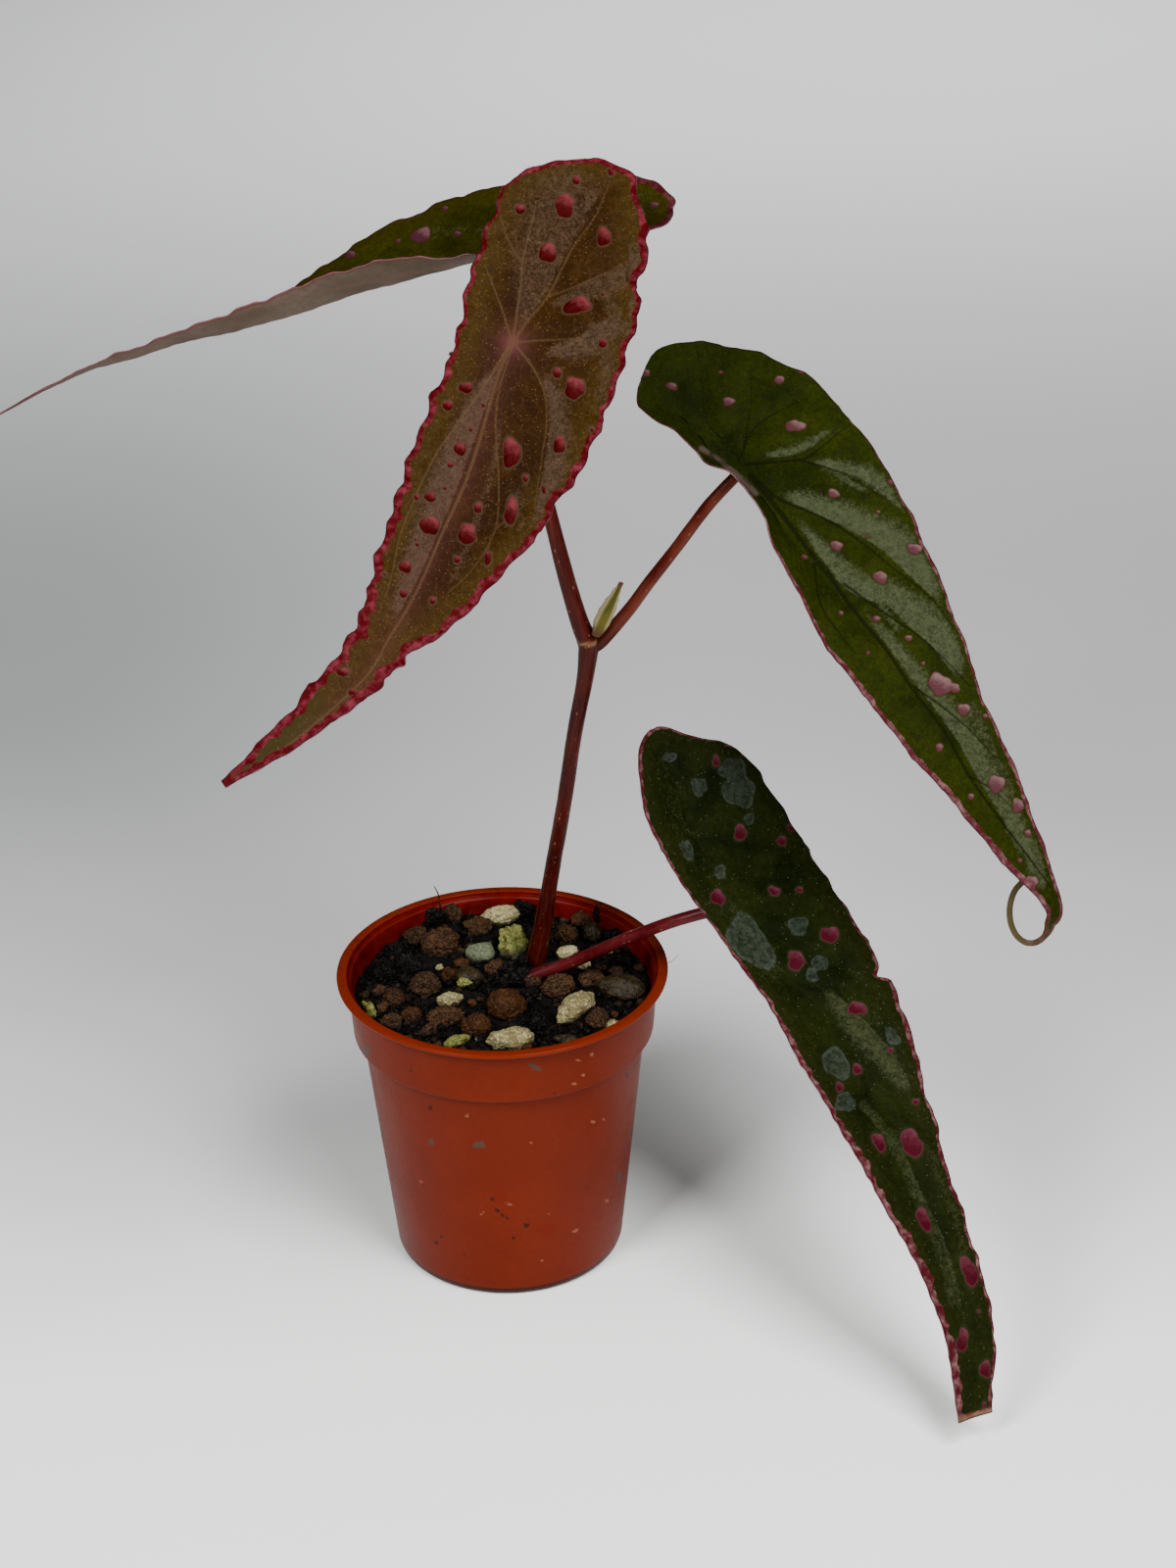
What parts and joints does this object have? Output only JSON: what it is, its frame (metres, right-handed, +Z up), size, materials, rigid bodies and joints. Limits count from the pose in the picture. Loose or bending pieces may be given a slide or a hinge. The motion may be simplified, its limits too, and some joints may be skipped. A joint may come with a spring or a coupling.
{
  "type": "potted begonia",
  "caption": "Small cane begonia with long pointed spotted leaves on red stalks, standing in a round plastic nursery pot of stony potting mix.",
  "frame": {"origin": "centre of the pot's flat underside, on the surface it stands on", "axes": "+Z up along the pot's axis; -Y towards the side that the front leaf faces, and the low leaf's tail points to +X and -Y"},
  "size_m": [0.2076, 0.1197, 0.2417],
  "materials": {
    "pot": "moulded terracotta-coloured plastic, semi-gloss, scuffed",
    "mix": "loose dark bark, lava grit and root fibres",
    "cane": "smooth red-brown cane with fine pale streaks",
    "leaf_front": "olive-brown leaf, raised crimson spots and crimson waved margin",
    "leaf_green": "green leaf with a silky sheen, rose spots and a thin rose margin",
    "leaf_low": "dark green matt leaf, rose spots and margin, grey water marks",
    "stipule": "papery yellow-green stipule",
    "pumice": "chalky white pumice",
    "zeolite": "matt pale green stone",
    "lava": "porous red-brown lava",
    "lava_gold": "porous golden-brown lava",
    "pebble": "grey-brown pebble",
    "bark": "black bark",
    "scrap": "yellow-green scrap of a leaf"
  },
  "bodies": {
    "root": {"pot": "pot", "potting_mix": "mix", "stem": "cane", "petiole_front": "cane", "petiole_rear": "cane", "petiole_right": "cane", "petiole_low": "cane", "leaf_front": "leaf_front", "leaf_rear": "leaf_green", "leaf_right": "leaf_green", "leaf_low": "leaf_low", "stipule_axil": "stipule", "stipule_tip": "stipule", "leaf_scrap": "scrap", "pumice_back": "pumice", "zeolite_green": "zeolite", "lava_round": "lava", "lava_behind_stem": "lava", "pebble_cracked": "pebble", "pumice_chip": "pumice", "lava_middle": "lava", "pebble_large": "pebble", "pumice_long": "pumice", "lava_by_pumice": "lava", "bark_front": "bark", "lava_golden": "lava_gold", "pumice_front": "pumice", "lava_front": "lava_gold", "lava_purple": "lava", "pumice_left": "pumice", "pebble_tan": "pebble", "lava_left": "lava", "lava_far_left": "lava_gold", "bark_heap": "bark", "lava_centre": "lava"}
  },
  "joints": []
}
